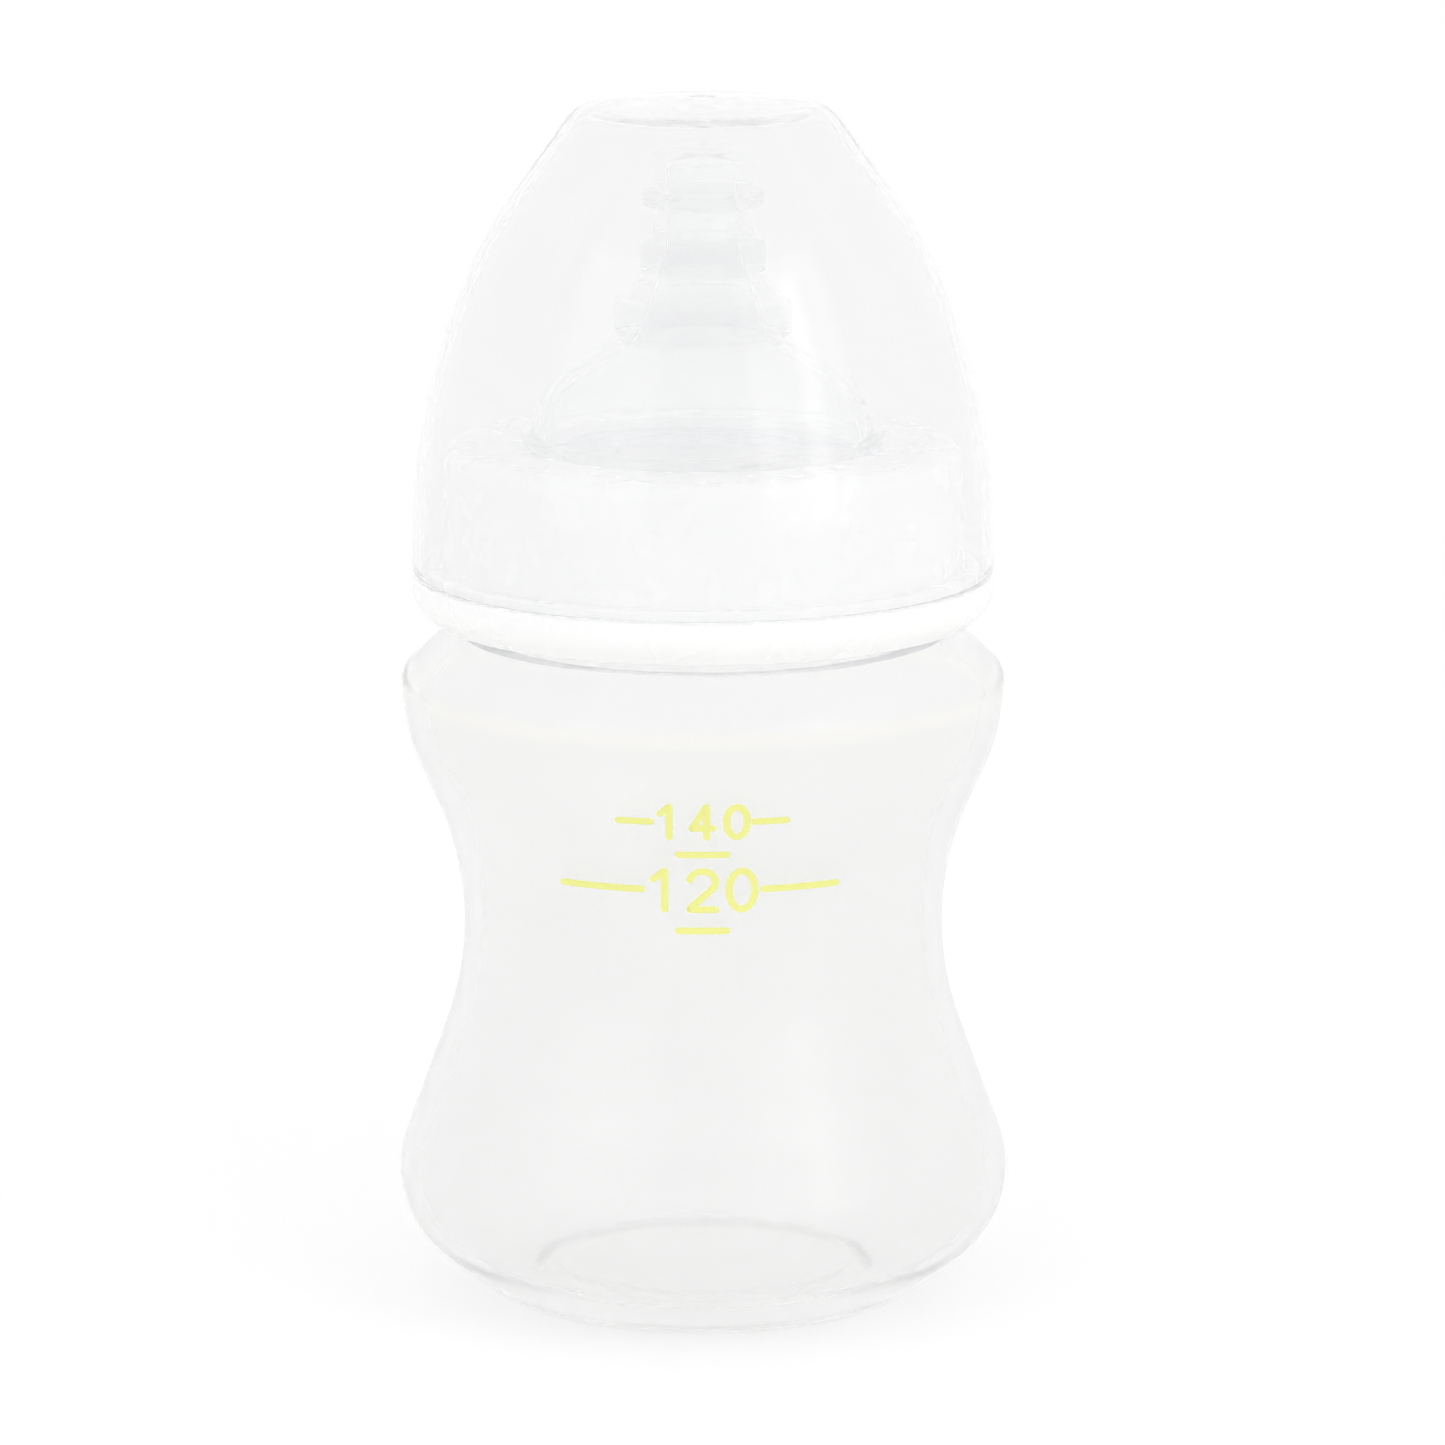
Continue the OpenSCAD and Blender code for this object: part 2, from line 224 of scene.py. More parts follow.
def turned(name, outline, body, closed, relief=None, angles=None, inside=None):
    """A piece turned about Z from an outline of (r, z). A point at r 0 is a pole.
    relief(angle, r, z) is how far its surface is pushed in or out.
    The stretch of the outline that inside gives takes the second material."""
    angles = angles or stations()
    n = len(angles)
    verts, rows, faces, inner = [], [], [], []
    for r, z in outline:
        if r < 1e-6:
            rows.append([len(verts)])
            verts.append((0.0, 0.0, z))
            continue
        rows.append(list(range(len(verts), len(verts) + n)))
        for a in angles:
            q = r + (relief(a, r, z) if relief else 0.0)
            verts.append((q * math.cos(math.radians(a)), q * math.sin(math.radians(a)), z))
    pairs = [(i, i + 1) for i in range(len(rows) - 1)]
    if closed:
        pairs.append((len(rows) - 1, 0))
    for i, j in pairs:
        low, high = rows[i], rows[j]
        made = len(faces)
        for k in range(n):
            m = (k + 1) % n
            if len(low) == 1:
                faces.append((low[0], high[m], high[k]))
            elif len(high) == 1:
                faces.append((low[k], low[m], high[0]))
            else:
                faces.append((low[k], low[m], high[m], high[k]))
        inner += [1 if inside and inside[0] <= i < inside[1] else 0] * (len(faces) - made)
    piece = mesh_piece(name, verts, faces, body)
    if inside:
        piece.data.polygons.foreach_set("material_index", inner)
    return piece


def ridge_height(angle, z, z0):
    """How far a thread ridge stands out of its wall at an angle and height."""
    total = 360 * THREAD_TURNS
    slope = (ROOT_W - CREST_W) / 2 / THREAD_DEPTH
    best = 0.0
    for k in range(3):
        a = angle % 360 + 360 * k
        if a > total:
            break
        fade = max(0.0, min(1.0, a / RIDGE_FADE, (total - a) / RIDGE_FADE))
        off = abs(z - (z0 + PITCH * a / 360))
        best = max(best, min(fade * THREAD_DEPTH, (ROOT_W / 2 - off) / slope))
    return best


# ---------- the four pieces ----------


def bottle_corners():
    return [
        (0, RECESS_DEPTH + RECESS_RISE, 0),
        (RECESS_R, RECESS_DEPTH, 1.0),
        (RECESS_R + RECESS_DEPTH, 0, 0.6),
        (FOOT_R, 0, FOOT_ROUND),
        (BELLY_R, BELLY_Z, BELLY_ROUND),
        (WAIST_R, WAIST_Z, WAIST_ROUND),
        (SHOULDER_R, SHOULDER_Z, SHOULDER_ROUND),
        (BEAD_R, BEAD_Z, BEAD_ROUND),
        (NECK_R + NECK_LEDGE, NECK_Z, 0.8),
        (NECK_R, NECK_Z, 0.5),
        (NECK_R, MOUTH_Z, 0.4),
        (NECK_R - BOTTLE_WALL, MOUTH_Z, 0.4),
        (NECK_R - BOTTLE_WALL, MOUTH_Z - 1.5, 0),
    ]


def bottle_relief(angle, r, z):
    """The thread on the neck, and the nib that the mould leaves on the shoulder."""
    if abs(r - NECK_R) < 0.01 and NECK_THREAD[0] < z < NECK_THREAD[1]:
        return ridge_height(angle, z, NECK_Z + RIDGE_START)
    if r > 31.0 and NIB_ZONE[0] < z < NIB_ZONE[1]:
        away = math.hypot((angle - NIB_TURN) * math.radians(r), z - NIB_Z)
        return NIB_H * math.exp(-(away / NIB_SPREAD) ** 2)
    return 0.0


def make_bottle():
    corners = bottle_corners()
    outer = finer(rounded(corners), *NECK_THREAD_FINE, FINE)
    outer = finer(outer, *NIB_FINE, 0.2)
    floor_z = RECESS_DEPTH + RECESS_RISE + BOTTLE_WALL
    inner = moved_path(corners[:11], BOTTLE_WALL)
    inside = rounded([(0, floor_z, 0)] + inner + [(NECK_R - BOTTLE_WALL, MOUTH_Z - 2, 0)])
    outline = outer + inside[::-1]
    angles = sorted(set(stations()) | {NIB_TURN + 0.25 * k for k in range(-8, 9)})
    return turned("bottle_shell", outline, "bottle_body", False,
                  bottle_relief, angles, (len(outer) - 1, len(outline)))


def collar_corners():
    return [
        (COLLAR_IN_R, COLLAR_LOW_Z, 0),
        (FLANGE_R - FLANGE_FOOT, COLLAR_LOW_Z, 0.7),
        (FLANGE_R, COLLAR_LOW_Z + 2.2, FLANGE_ROUND),
        (FLANGE_R, SEAT_Z, 0.3),
        (SPIGOT_R, SEAT_Z, 0),
        (SPIGOT_R, SEAT_Z + SPIGOT_H, 0.4),
        (COLLAR_R, SEAT_Z + SPIGOT_H, 0.3),
        (COLLAR_R - COLLAR_DRAFT, COLLAR_TOP_Z, 1.4),
        (OPENING_R, COLLAR_TOP_Z, 0.4),
        (OPENING_R, CEILING_Z, 0),
        (COLLAR_IN_R, CEILING_Z, 0.5),
        (COLLAR_IN_R, COLLAR_LOW_Z + 0.6, 0),
    ]


def collar_relief(angle, r, z):
    """The collar's own thread, which stands in from its wall."""
    if abs(r - COLLAR_IN_R) < 0.01 and COLLAR_THREAD[0] < z < COLLAR_THREAD[1]:
        return -ridge_height(angle, z, NECK_Z + RIDGE_START - RIDGE_OFFSET)
    return 0.0


def make_collar():
    corners = collar_corners()
    wall = finer([corners[-2][:2], corners[-1][:2]], *COLLAR_THREAD_FINE, FINE)
    outline = rounded(corners[:-1]) + wall[1:]
    return turned("screw_collar_shell", outline, "collar_body", True,
                  collar_relief)


def teat_core():
    """The teat's outside without its rings, which its inside follows."""
    return [
        (TEAT_BASE_R, RIM_LOW_Z, 0),
        (TEAT_BASE_R, COLLAR_TOP_Z + 0.6, 1.0),
        (DOME_R, DOME_Z, DOME_ROUND),
        (TIP_R + 2.7, TIP_Z - 20.6, 2.0),
        (TIP_R - 0.1, TIP_Z - 11.5, 2.0),
        (TIP_R - 0.9, TIP_Z - 6.8, 0.4),
        (TIP_R - 0.45, TIP_Z - 4.8, 0.4),
        (TIP_R, TIP_Z - 0.6, 1.2),
        (FEED_R, TIP_Z, 0.15),
    ]


def teat_corners():
    core = teat_core()
    low = COLLAR_TOP_Z + 0.1
    return [
        (TEAT_BASE_R - TEAT_WALL, RIM_LOW_Z, 0),
        (TEAT_RIM_R, RIM_LOW_Z, 0.4),
        (TEAT_RIM_R, RIM_HIGH_Z, 0.4),
        (TEAT_BASE_R, RIM_HIGH_Z, 0.2),
        (TEAT_BASE_R, low, 0),
        (OPENING_R + LIP_OUT, low, 0.2),
        (OPENING_R + LIP_OUT, low + 0.9, 0.4),
        (TEAT_BASE_R - 0.2, low + 1.1, 0.4),
        core[2],
        (TIP_R + 2.7, TIP_Z - 20.9, 0.5),
        (TIP_R + 3.95, TIP_Z - 20.9, 1.1),
        (TIP_R + 3.95, TIP_Z - 17.0, 0.7),
        (TIP_R + 2.6, TIP_Z - 16.8, 0.3),
        (TIP_R + 0.6, TIP_Z - 14.0, 0.3),
        (TIP_R + 1.05, TIP_Z - 13.9, 0.5),
        (TIP_R + 1.05, TIP_Z - 10.5, 0.6),
        (TIP_R - 0.1, TIP_Z - 10.4, 0.3),
        core[5],
        (TIP_R + 0.85, TIP_Z - 6.7, 0.5),
        (TIP_R + 0.85, TIP_Z - 4.9, 0.5),
        core[6],
        core[7],
        core[8],
        (FEED_R, TIP_Z - 0.4, 0),
    ]


def teat_relief(angle, r, z):
    """The valve boss low on the dome, with the dimple of its hole."""
    if r > 18.6 and COLLAR_TOP_Z < z < COLLAR_TOP_Z + 4:
        away = math.hypot((angle - VENT_TURN) * math.radians(r), z - VENT_Z)
        boss = BOSS_H / (1 + math.exp(min(20.0, (away - BOSS_R) / BOSS_EDGE)))
        return boss - DIMPLE_H * math.exp(-(away / DIMPLE_R) ** 2)
    return 0.0


def make_teat():
    core = teat_core()
    outer = finer(rounded(teat_corners()), COLLAR_TOP_Z + 1.3, COLLAR_TOP_Z + 3.4, 0.15)
    kept = core[:5] + core[6:-1] + [(0, TIP_Z, 0)]
    inner = moved_path(kept, TEAT_WALL)
    inside = rounded([(TEAT_BASE_R - TEAT_WALL, RIM_LOW_Z, 0)] + inner
                     + [(FEED_R, TIP_Z - TEAT_WALL, 0)])
    outline = outer + inside[:0:-1]
    return turned("teat_shell", outline, "teat_body", True,
                  teat_relief, stations(VENT_TURN), (len(outer), len(outline)))


def cap_corners():
    return [
        (FLANGE_R, CAP_LOW_Z, 0),
        (FLANGE_R, CAP_LOW_Z + 13.2, 65),
        (25.9, CAP_TOP_Z - 18.0, 52),
        (CAP_TOP_R, CAP_TOP_Z - CAP_TOP_RISE, 4),
        (0, CAP_TOP_Z, 0),
    ]


def make_cap():
    corners = cap_corners()
    rim = (FLANGE_R - CAP_WALL / 2, CAP_LOW_Z, 0)
    slope = CAP_TOP_RISE / CAP_TOP_R
    gate_z = CAP_TOP_Z - GATE_DEPTH
    gate = [
        (GATE_R + 0.02, CAP_TOP_Z - slope * GATE_R, 0),
        (GATE_R, gate_z, 0),
        (NUB_R, gate_z, 0),
        (NUB_R - 0.03, gate_z - NUB_DEPTH, 0),
        (0, gate_z - NUB_DEPTH, 0),
    ]
    outer = rounded([rim, (FLANGE_R, CAP_LOW_Z, 0.3)] + corners[1:-1] + gate)
    inner = moved_path(corners, CAP_WALL)
    inside = rounded([rim, (CAP_IN_R, CAP_LOW_Z, 0.3)] + inner + [(0, CAP_TOP_Z - CAP_WALL, 0)])
    outline = inside[::-1] + outer[1:]
    return turned("dust_cap_shell", outline, "cap_body", False,
                  None, stations(), (0, len(inside) - 1))


# ---------- the printed scale ----------

PRINT_W = 0.78       # width of a stroke
PRINT_LIFT = 0.015   # of the print's lower face off the bottle
PRINT_T = 0.03       # thickness of the ink
NUMERAL_W = 0.62     # width of a numeral over its height
NUMERAL_GAP = 1.45


def body_radius(points, z):
    """Radius of the bottle's outside at a height below the shoulder."""
    for a, b in zip(points, points[1:]):
        if a[1] <= z <= b[1] and b[1] > a[1] and a[0] > 20:
            return a[0] + (b[0] - a[0]) * (z - a[1]) / (b[1] - a[1])
    return 30.0


def arc_points(cx, cz, rx, rz, start, end, n=28):
    return [(cx + rx * math.cos(math.radians(start + (end - start) * k / n)),
             cz + rz * math.sin(math.radians(start + (end - start) * k / n))) for k in range(n + 1)]


def cut_line(a, b, step=0.6):
    """A straight stroke in short steps, so that it follows the bottle's curve."""
    n = max(1, math.ceil(math.hypot(b[0] - a[0], b[1] - a[1]) / step))
    return [(a[0] + (b[0] - a[0]) * k / n, a[1] + (b[1] - a[1]) * k / n) for k in range(n + 1)]


def digit_strokes(digit, x, z, h):
    """Strokes of a rounded numeral whose lower left corner is at (x, z)."""
    w = NUMERAL_W * h
    if digit == "0":
        return [arc_points(x + w / 2, z + h / 2, w / 2, h / 2, 90, 450, 44)]
    if digit == "1":
        return [cut_line((x + 0.55 * w, z + h), (x + 0.55 * w, z)),
                cut_line((x + 0.12 * w, z + 0.78 * h), (x + 0.50 * w, z + 0.98 * h))]
    if digit == "2":
        bowl = arc_points(x + w / 2, z + 0.72 * h, w / 2, 0.28 * h, 170, -38)
        return [bowl + cut_line(bowl[-1], (x + 0.04 * w, z + 0.05 * h))[1:],
                cut_line((x + 0.02 * w, z), (x + w, z))]
    return [cut_line((x + 0.70 * w, z), (x + 0.70 * w, z + h)),      # the remaining one, 4
            cut_line((x + 0.66 * w, z + h), (x, z + 0.30 * h)),
            cut_line((x, z + 0.30 * h), (x + w, z + 0.30 * h))]


def number_strokes(number, mid_x, z, h):
    step = NUMERAL_W * h + NUMERAL_GAP
    x = mid_x - (len(number) * step - NUMERAL_GAP) / 2
    return [s for i, d in enumerate(number) for s in digit_strokes(d, x + i * step, z, h)]


def round_end(section, way):
    """Sections (point, normal, direction, half width) that close a stroke in a half circle."""
    p, nrm, d, h = section
    out = []
    for turn in (90, 72, 54, 36, 18):
        reach = way * h * math.sin(math.radians(turn))
        half = max(0.02, h * math.cos(math.radians(turn)))
        out.append(((p[0] + d[0] * reach, p[1] + d[1] * reach), nrm, d, half))
    return out


def ribbon(path, width):
    """Sections along a stroke, with round ends unless it is a loop."""
    n = len(path)
    looped = math.hypot(path[0][0] - path[-1][0], path[0][1] - path[-1][1]) < 1e-6
    out = []
    for i, p in enumerate(path):
        a = path[i - 1] if i else (path[-2] if looped else path[0])
        b = path[i + 1] if i < n - 1 else (path[1] if looped else path[-1])
        d = unit(a, b)
        out.append((p, (-d[1], d[0]), d, width / 2))
    if looped:
        return out, True
    return round_end(out[0], -1) + out + round_end(out[-1], 1)[::-1], False


def scale_strokes():
    """Level marks at their true heights, with the numbers of 120 and 140 millilitres.
    A mark is a number, its foot and height, and its lines as (left, right, height)."""
    marks = [
        ("120", 48.85, 4.5, [(-15.0, -6.6, 51.1), (6.6, 14.4, 51.1)]),
        ("140", 57.5, 3.6, [(-9.0, -5.6, 59.3), (5.6, 9.0, 59.3),
                            (-2.6, 2.6, 55.35), (-2.6, 2.6, 46.4)]),
    ]
    strokes = []
    for number, low, height, lines in marks:
        strokes += number_strokes(number, 0.0, low, height)
        strokes += [cut_line((left, z), (right, z)) for left, right, z in lines]
    return strokes


def make_print():
    outline = rounded(bottle_corners())
    verts, faces = [], []

    def place(x, z, lift):
        r = body_radius(outline, z)
        a = math.asin(max(-1, min(1, x / r)))
        verts.append(((r + lift) * math.sin(a), -(r + lift) * math.cos(a), z))

    for path in scale_strokes():
        sections, looped = ribbon(path, PRINT_W)
        sections = sections[:-1] if looped else sections
        base = len(verts)
        for p, nrm, _, half in sections:
            for lift in (PRINT_LIFT + PRINT_T, PRINT_LIFT):
                for s in (-1, 0, 1):
                    place(p[0] + nrm[0] * half * s, p[1] + nrm[1] * half * s, lift)
        ring = [0, 1, 2, 5, 4, 3]
        count = len(sections)
        for i in range(count if looped else count - 1):
            j = (i + 1) % count
            for k in range(6):
                m = (k + 1) % 6
                faces.append((base + 6 * i + ring[k], base + 6 * j + ring[k],
                              base + 6 * j + ring[m], base + 6 * i + ring[m]))
        if not looped:
            for i in (0, count - 1):
                end = ring if i else ring[::-1]
                faces.append(tuple(base + 6 * i + k for k in end))
    return mesh_piece("printed_scale", verts, faces, "bottle_body")


# ---------- materials ----------

NOISE_RANGE = (0.3, 0.7)             # what a noise's values nearly always lie in
UNEVEN_SCALE = 240.0                 # of the noise in a moulded piece's roughness
WAVE_SCALE, WAVE_STRETCH = 55.0, (1, 1, 0.45)
GRAIN_SCALE = 2600.0

def new_material(name):
    material = bpy.data.materials.new(name)
    material.use_nodes = True
    tree = material.node_tree
    tree.nodes.clear()
    out = tree.nodes.new("ShaderNodeOutputMaterial")
    shader = tree.nodes.new("ShaderNodeBsdfPrincipled")
    tree.links.new(shader.outputs[0], out.inputs[0])
    return material, tree, shader


def noise(tree, scale, detail=3.0, stretch=(1, 1, 1)):
    coords = tree.nodes.new("ShaderNodeTexCoord")
    mapping = tree.nodes.new("ShaderNodeMapping")
    mapping.inputs["Scale"].default_value = stretch
    texture = tree.nodes.new("ShaderNodeTexNoise")
    texture.inputs["Scale"].default_value = scale
    texture.inputs["Detail"].default_value = detail
    tree.links.new(coords.outputs["Object"], mapping.inputs[0])
    tree.links.new(mapping.outputs[0], texture.inputs["Vector"])
    return texture.outputs["Fac"]


def ramp(tree, value, low, high, colours):
    node = tree.nodes.new("ShaderNodeValToRGB")
    node.color_ramp.elements[0].position = low
    node.color_ramp.elements[1].position = high
    node.color_ramp.elements[0].color = (*colours[0], 1)
    node.color_ramp.elements[1].color = (*colours[1], 1)
    tree.links.new(value, node.inputs[0])
    return node.outputs[0]


def spread(tree, value, low, high):
    """A 0 to 1 value mapped to the range low to high."""
    node = tree.nodes.new("ShaderNodeMapRange")
    node.inputs["From Min"].default_value = NOISE_RANGE[0]
    node.inputs["From Max"].default_value = NOISE_RANGE[1]
    node.inputs["To Min"].default_value = low
    node.inputs["To Max"].default_value = high
    tree.links.new(value, node.inputs[0])
    return node.outputs[0]


def bump(tree, height, distance, strength, normal=None):
    node = tree.nodes.new("ShaderNodeBump")
    node.inputs["Strength"].default_value = strength
    node.inputs["Distance"].default_value = distance
    tree.links.new(height, node.inputs["Height"])
    if normal is not None:
        tree.links.new(normal, node.inputs["Normal"])
    return node.outputs[0]


GLOSS_IOR = 1.49     # of a clear piece's outer gloss
RAMP_TOP = 130.0     # height, in millimetres, at the end of a tint by height
# painted shade and highlight by height: darker towards the heel and base, a painted warm highlight
# along the shoulder's edge, and lighter up towards the neck
BOTTLE_SHADE_AND_HIGHLIGHT = [
    (0.0, (0.950, 0.950, 0.948)),
    (12.0, (0.949, 0.949, 0.947)),
    (40.0, (0.960, 0.960, 0.958)),
    (60.0, (0.968, 0.968, 0.966)),
    (67.3, (0.966, 0.966, 0.962)),
    (67.8, (1.000, 0.993, 0.970)),
    (68.9, (1.000, 0.993, 0.970)),
    (69.4, (0.968, 0.968, 0.968)),
    (73.0, (0.976, 0.976, 0.976)),
    (74.5, (1.000, 1.000, 1.000)),
]
RING_SHADE_TINT = (0.945, 0.946, 0.950)    # the teat's three rings are thicker than its wall, and their darker tint is also painted shade
CLEAR = (1.0, 1.0, 1.0)
TEAT_RING_SHADE = [
    (106.9, CLEAR), (107.7, RING_SHADE_TINT), (110.9, RING_SHADE_TINT), (111.7, CLEAR),
    (114.2, CLEAR), (114.8, RING_SHADE_TINT), (117.4, RING_SHADE_TINT), (118.1, CLEAR),
    (121.4, CLEAR), (121.9, RING_SHADE_TINT), (123.2, RING_SHADE_TINT), (123.8, CLEAR),
]


def by_height(tree, stops):
    """A colour that changes with height, from stops of (height in millimetres, colour)."""
    coords = tree.nodes.new("ShaderNodeTexCoord")
    split = tree.nodes.new("ShaderNodeSeparateXYZ")
    scaled = tree.nodes.new("ShaderNodeMath")
    scaled.operation = "DIVIDE"
    scaled.inputs[1].default_value = RAMP_TOP * MM
    node = tree.nodes.new("ShaderNodeValToRGB")
    tree.links.new(coords.outputs["Object"], split.inputs[0])
    tree.links.new(split.outputs["Z"], scaled.inputs[0])
    tree.links.new(scaled.outputs[0], node.inputs[0])
    elements = node.color_ramp.elements
    while len(elements) < len(stops):
        elements.new(1.0)
    for element, (z, colour) in zip(elements, stops):
        element.position = z / RAMP_TOP
        element.color = (*colour, 1)
    return node.outputs[0]


def tinted(tree, first, second):
    node = tree.nodes.new("ShaderNodeMix")
    node.data_type = "RGBA"
    node.blend_type = "MULTIPLY"
    node.inputs[0].default_value = 1.0
    tree.links.new(first, node.inputs[6])
    tree.links.new(second, node.inputs[7])
    return node.outputs[2]


def moulded(name, colours, rough, ior, clear, grain, wave,
            mottle=70.0, depth=0.0, gloss=None, heights=None):
    """Moulded plastic or silicone, with a mottled colour and uneven roughness.
    grain and wave are the depths, in metres, of its fine grain and of the slow wave of its wall.
    depth is how far light spreads inside an opaque one, in metres too.
    gloss is the roughness of a clear one's outer gloss. heights are stops of a tint by height,
    which paints shade and highlight."""
    material, tree, shader = new_material(name)
    colour = ramp(tree, noise(tree, mottle, 4), 0.35, 0.65, colours)
    if heights:
        colour = tinted(tree, colour, by_height(tree, heights))
    tree.links.new(colour, shader.inputs["Base Color"])
    tree.links.new(spread(tree, noise(tree, UNEVEN_SCALE, 5), *rough), shader.inputs["Roughness"])
    shader.inputs["IOR"].default_value = ior
    shader.inputs["Transmission Weight"].default_value = clear
    slow = bump(tree, noise(tree, WAVE_SCALE, 2, WAVE_STRETCH), wave, 0.5)
    fine = bump(tree, noise(tree, GRAIN_SCALE, 2), grain, 0.5, slow)
    tree.links.new(fine, shader.inputs["Normal"])
    if clear:
        tree.links.new(fine, shader.inputs["Coat Normal"])
        shader.inputs["Coat Weight"].default_value = 1.0
        shader.inputs["Coat Roughness"].default_value = rough[0] if gloss is None else gloss
        shader.inputs["Coat IOR"].default_value = GLOSS_IOR
    if depth:
        shader.inputs["Subsurface Weight"].default_value = 1.0
        shader.inputs["Subsurface Radius"].default_value = (1.0, 1.0, 1.0)
        shader.inputs["Subsurface Scale"].default_value = depth
    return material


def ink(name):
    material, tree, shader = new_material(name)
    tree.links.new(ramp(tree, noise(tree, 900.0, 4), *NOISE_RANGE, INK_COLOURS),
                   shader.inputs["Base Color"])
    tree.links.new(spread(tree, noise(tree, 1500.0, 3), 0.32, 0.44), shader.inputs["Roughness"])
    tree.links.new(bump(tree, noise(tree, 4000.0, 2), 0.00002, 0.4), shader.inputs["Normal"])
    return material


def give(piece, *materials):
    for material in materials:
        piece.data.materials.append(material)


# ---------- build ----------

bottle = make_bottle()
collar = make_collar()
teat = make_teat()
cap = make_cap()
print_marks = make_print()

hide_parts("bottle")
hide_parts("screw_collar")
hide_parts("teat")
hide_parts("dust_cap")

BOTTLE_COLOURS = ((0.984, 0.984, 0.984), (0.992, 0.992, 0.992))
COLLAR_COLOURS = ((0.974, 0.976, 0.988), (0.976, 0.978, 0.990))
TEAT_COLOURS = ((0.982, 0.983, 0.985), (0.990, 0.991, 0.993))
CAP_COLOURS = ((0.952, 0.952, 0.952), (0.958, 0.958, 0.958))
INK_COLOURS = ((0.845, 0.857, 0.262), (0.865, 0.873, 0.290))

# the bottle's colour by height paints shade towards its foot and a highlight along its shoulder's
# edge
give(bottle,
     moulded("frosted_bottle_outside", BOTTLE_COLOURS, rough=(0.06, 0.10), ior=1.10, clear=0.85,
             grain=0.00001, wave=0.00006, gloss=0.35, heights=BOTTLE_SHADE_AND_HIGHLIGHT),
     moulded("frosted_bottle_inside", BOTTLE_COLOURS, rough=(0.12, 0.16), ior=1.10, clear=0.85,
             grain=0.00002, wave=0.00006, gloss=0.20, heights=BOTTLE_SHADE_AND_HIGHLIGHT))
give(collar,
     moulded("white_collar", COLLAR_COLOURS, rough=(0.22, 0.30), ior=1.49, clear=0.0,
             grain=0.00001, wave=0.00003, mottle=40.0, depth=0.0025))
# the teat's colour by height darkens its rings, partly for their thickness and partly as painted
# shade
give(teat,
     moulded("clear_silicone_outside", TEAT_COLOURS, rough=(0.08, 0.14), ior=1.06, clear=0.82,
             grain=0.00001, wave=0.00004, heights=TEAT_RING_SHADE),
     moulded("clear_silicone_inside", TEAT_COLOURS, rough=(0.10, 0.16), ior=1.06, clear=0.90,
             grain=0.00001, wave=0.00004, heights=TEAT_RING_SHADE))
give(cap,
     moulded("clear_cap_outside", CAP_COLOURS, rough=(0.03, 0.06), ior=1.04, clear=0.90,
             grain=0.000004, wave=0.00003, gloss=0.10),
     moulded("clear_cap_inside", CAP_COLOURS, rough=(0.06, 0.10), ior=1.04, clear=0.90,
             grain=0.000004, wave=0.00003, gloss=0.14))
give(print_marks, ink("lime_ink"))

# ---------- floor, light and camera ----------

FLOOR_COLOUR = (0.90, 0.90, 0.89)    # as other surfaces are lit by it
FLOOR_SEEN = (0.18, 0.80)            # the shares that glow and that take shadows, for the camera
FLOOR_FAR = (1.0, 0.0)               # the same far from the object
FLOOR_BEHIND = (0.93, 0.07)          # the same in reflections and through clear pieces
FLOOR_FADE = (0.20, 0.60)            # distances, in metres, between which one turns to the other
FLOOR_HALF = 3.0                     # half its side, in metres
FLOOR_DROP = 0.00005                 # its depth below the object's foot
FILL = 1.0                           # strength of the light from all around
ROOM_FRONT = (0.965, 0.968, 0.975)   # the room in reflections, behind the camera
ROOM_BACK = (1.0, 1.0, 1.0)          # and behind the object
ROOM_FADE = (0.25, -0.85)            # between them, as the Y of a direction


def add(tree, first, second):
    node = tree.nodes.new("ShaderNodeMath")
    node.operation = "ADD"
    node.use_clamp = True
    tree.links.new(first, node.inputs[0])
    tree.links.new(second, node.inputs[1])
    return node.outputs[0]


def mixed(tree, share, first, second):
    node = tree.nodes.new("ShaderNodeMixShader")
    tree.links.new(share, node.inputs[0])
    tree.links.new(first, node.inputs[1])
    tree.links.new(second, node.inputs[2])
    return node.outputs[0]


def diffuse(tree, colour):
    node = tree.nodes.new("ShaderNodeBsdfDiffuse")
    node.inputs["Color"].default_value = (*colour, 1)
    return node.outputs[0]


def white_paper(tree, glow, share):
    """A white surface that shows only part of the shadows on it."""
    light = tree.nodes.new("ShaderNodeEmission")
    light.inputs["Strength"].default_value = glow
    both = tree.nodes.new("ShaderNodeAddShader")
    tree.links.new(diffuse(tree, (share, share, share)), both.inputs[0])
    tree.links.new(light.outputs[0], both.inputs[1])
    return both.outputs[0]


def far_share(tree):
    """0 on the floor around the object, and 1 on the far floor, which takes no shadow."""
    coords = tree.nodes.new("ShaderNodeTexCoord")
    length = tree.nodes.new("ShaderNodeVectorMath")
    length.operation = "LENGTH"
    node = tree.nodes.new("ShaderNodeMapRange")
    node.interpolation_type = "SMOOTHSTEP"
    node.inputs["From Min"].default_value = FLOOR_FADE[0]
    node.inputs["From Max"].default_value = FLOOR_FADE[1]
    tree.links.new(coords.outputs["Object"], length.inputs[0])
    tree.links.new(length.outputs["Value"], node.inputs[0])
    return node.outputs[0]


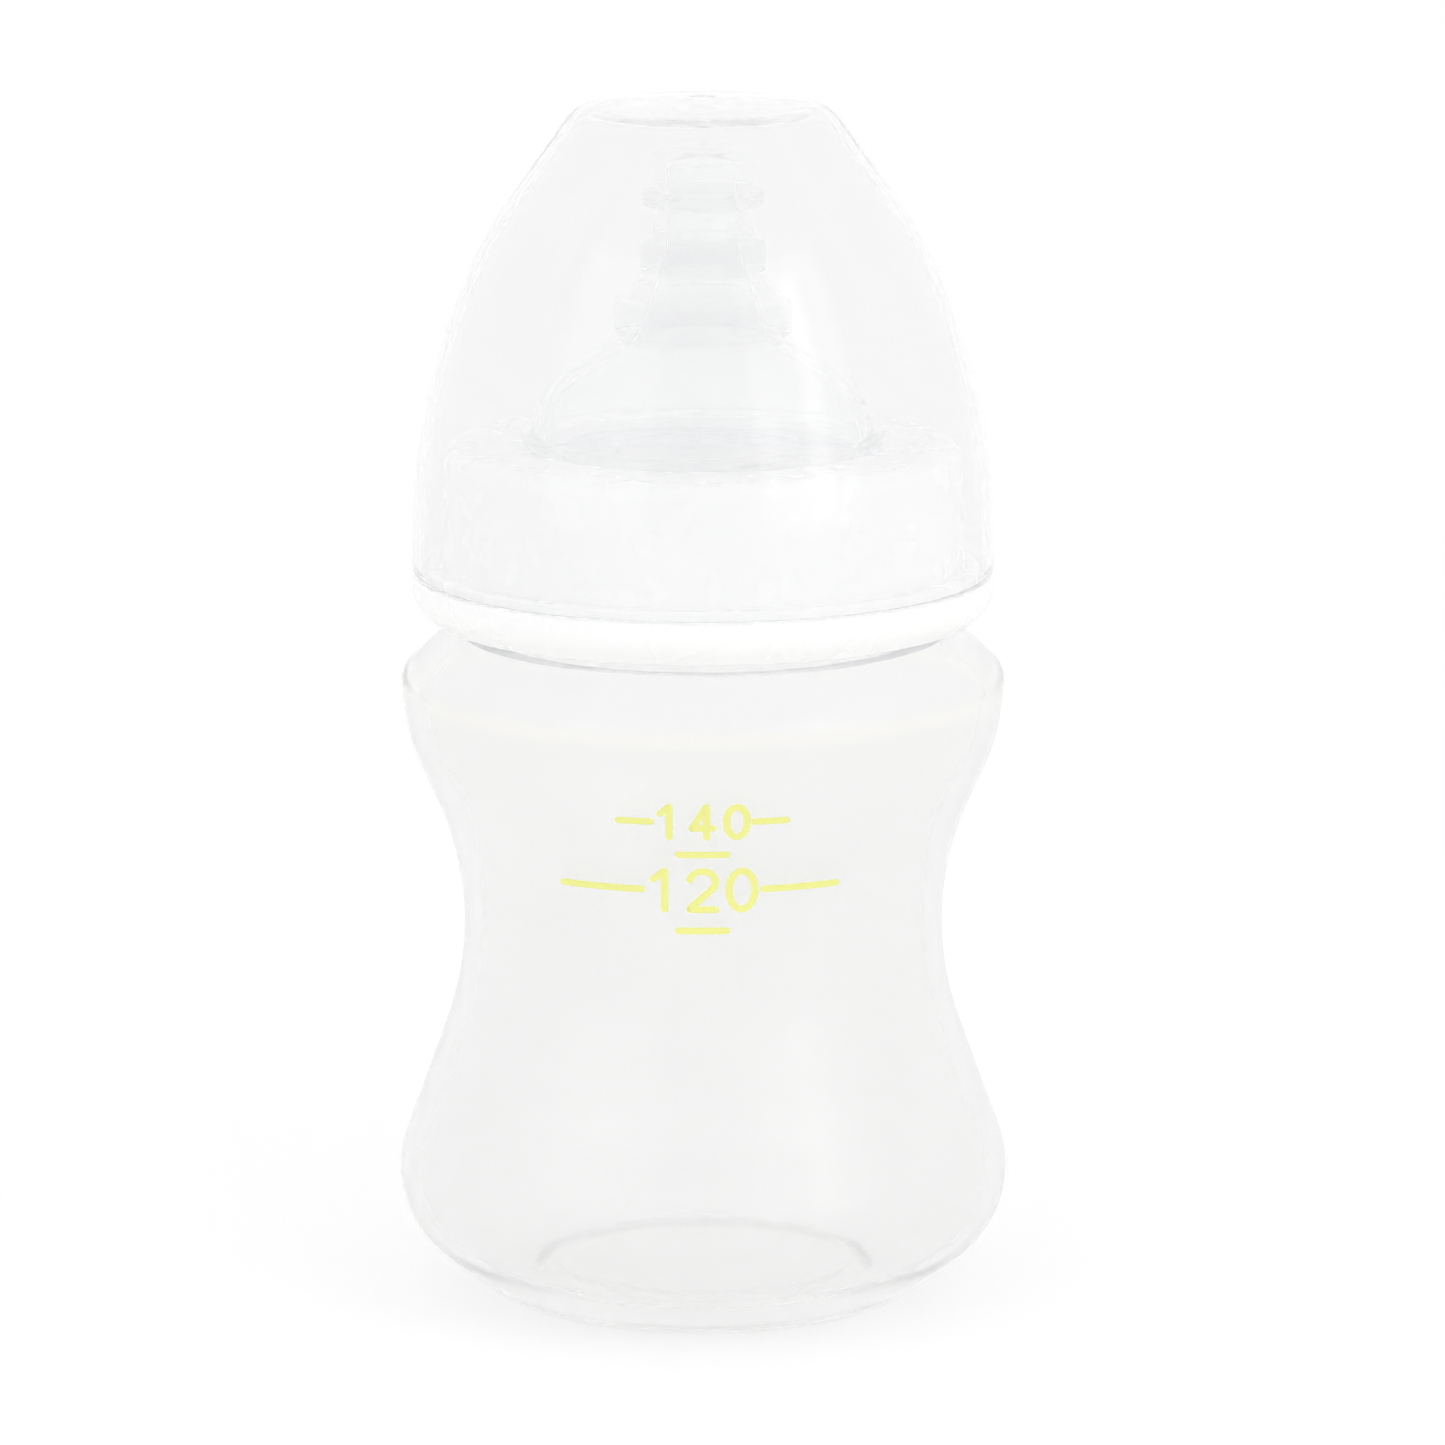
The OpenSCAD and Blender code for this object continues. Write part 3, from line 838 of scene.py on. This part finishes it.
def make_floor():
    mesh = bpy.data.meshes.new("floor")
    s = FLOOR_HALF
    mesh.from_pydata([(-s, -s, 0), (s, -s, 0), (s, s, 0), (-s, s, 0)], [], [(0, 1, 2, 3)])
    floor = bpy.data.objects.new("floor", mesh)
    bpy.context.scene.collection.objects.link(floor)
    floor.location.z = -FLOOR_DROP
    material = bpy.data.materials.new("pale_floor")
    material.use_nodes = True
    tree = material.node_tree
    tree.nodes.clear()
    out = tree.nodes.new("ShaderNodeOutputMaterial")
    path = tree.nodes.new("ShaderNodeLightPath")
    through = add(tree, path.outputs["Is Glossy Ray"], path.outputs["Is Transmission Ray"])
    indirect = mixed(tree, through, diffuse(tree, FLOOR_COLOUR), white_paper(tree, *FLOOR_BEHIND))
    seen = mixed(tree, far_share(tree), white_paper(tree, *FLOOR_SEEN),
                 white_paper(tree, *FLOOR_FAR))
    tree.links.new(mixed(tree, path.outputs["Is Camera Ray"], indirect, seen), out.inputs[0])
    mesh.materials.append(material)


def background(tree, colour):
    node = tree.nodes.new("ShaderNodeBackground")
    node.inputs["Color"].default_value = (*colour, 1)
    return node


def make_world():
    world = bpy.data.worlds.new("studio")
    bpy.context.scene.world = world
    world.use_nodes = True
    tree = world.node_tree
    tree.nodes.clear()
    out = tree.nodes.new("ShaderNodeOutputWorld")
    path = tree.nodes.new("ShaderNodeLightPath")
    coords = tree.nodes.new("ShaderNodeTexCoord")
    split = tree.nodes.new("ShaderNodeSeparateXYZ")
    tree.links.new(coords.outputs["Generated"], split.inputs[0])
    room = background(tree, (1, 1, 1))
    tree.links.new(ramp(tree, front_share(tree, split), 0.0, 1.0, (ROOM_BACK, ROOM_FRONT)),
                   room.inputs["Color"])
    through = add(tree, path.outputs["Is Glossy Ray"], path.outputs["Is Transmission Ray"])
    even = background(tree, (FILL, FILL, FILL))
    indirect = mixed(tree, through, even.outputs[0], room.outputs[0])
    seen = background(tree, (1, 1, 1)).outputs[0]
    tree.links.new(mixed(tree, path.outputs["Is Camera Ray"], indirect, seen), out.inputs[0])


def front_share(tree, split):
    """1 towards the dim side of the room, behind the camera, and 0 behind the object."""
    node = tree.nodes.new("ShaderNodeMapRange")
    node.interpolation_type = "SMOOTHSTEP"
    node.inputs["From Min"].default_value = ROOM_FADE[0]
    node.inputs["From Max"].default_value = ROOM_FADE[1]
    tree.links.new(split.outputs["Y"], node.inputs[0])
    return node.outputs[0]


def soft_box(name, at, target, width, height, radiance, colour=(1, 1, 1)):
    """A lamp of a stated brightness per area, whatever its size."""
    light = bpy.data.lights.new(name, "AREA")
    light.shape = "RECTANGLE"
    light.size = width
    light.size_y = height
    light.energy = radiance * math.pi * width * height
    light.color = colour
    lamp = bpy.data.objects.new(name, light)
    bpy.context.scene.collection.objects.link(lamp)
    lamp.location = at
    lamp.rotation_euler = (Vector(target) - Vector(at)).to_track_quat("-Z", "Y").to_euler()


SENSOR = 36.0
PHOTO_PX = 1445
FOCAL_PX = 7354                      # fitted to the photograph's outline
CAMERA_AT = (0.00215, -0.8, 0.227685)
CAMERA_PITCH = 0.202                 # radians down


def make_camera():
    data = bpy.data.cameras.new("camera")
    data.sensor_width = SENSOR
    data.lens = FOCAL_PX / PHOTO_PX * SENSOR
    camera = bpy.data.objects.new("camera", data)
    bpy.context.scene.collection.objects.link(camera)
    camera.location = CAMERA_AT
    camera.rotation_euler = (math.pi / 2 - CAMERA_PITCH, 0, 0)
    bpy.context.scene.camera = camera


bpy.context.scene.view_settings.view_transform = "Standard"
cycles = bpy.context.scene.cycles
cycles.max_bounces = 64              # light passes through up to eight clear surfaces, and back
cycles.transmission_bounces = 64
cycles.glossy_bounces = 24
cycles.diffuse_bounces = 16
cycles.blur_glossy = 0.0             # clear pieces stay clear after a diffuse bounce
make_floor()
make_world()
make_camera()
soft_box("soft_box_left", (-0.50, -0.50, 0.40), (0, 0, 0.10), 0.62, 0.70, 0.28)
soft_box("soft_box_right", (0.50, -0.50, 0.40), (0, 0, 0.10), 0.62, 0.70, 0.38)
soft_box("strip", (0.46, -0.40, 0.34), (0, 0, 0.07), 0.10, 0.50, 0.8, (1, 0.995, 0.96))
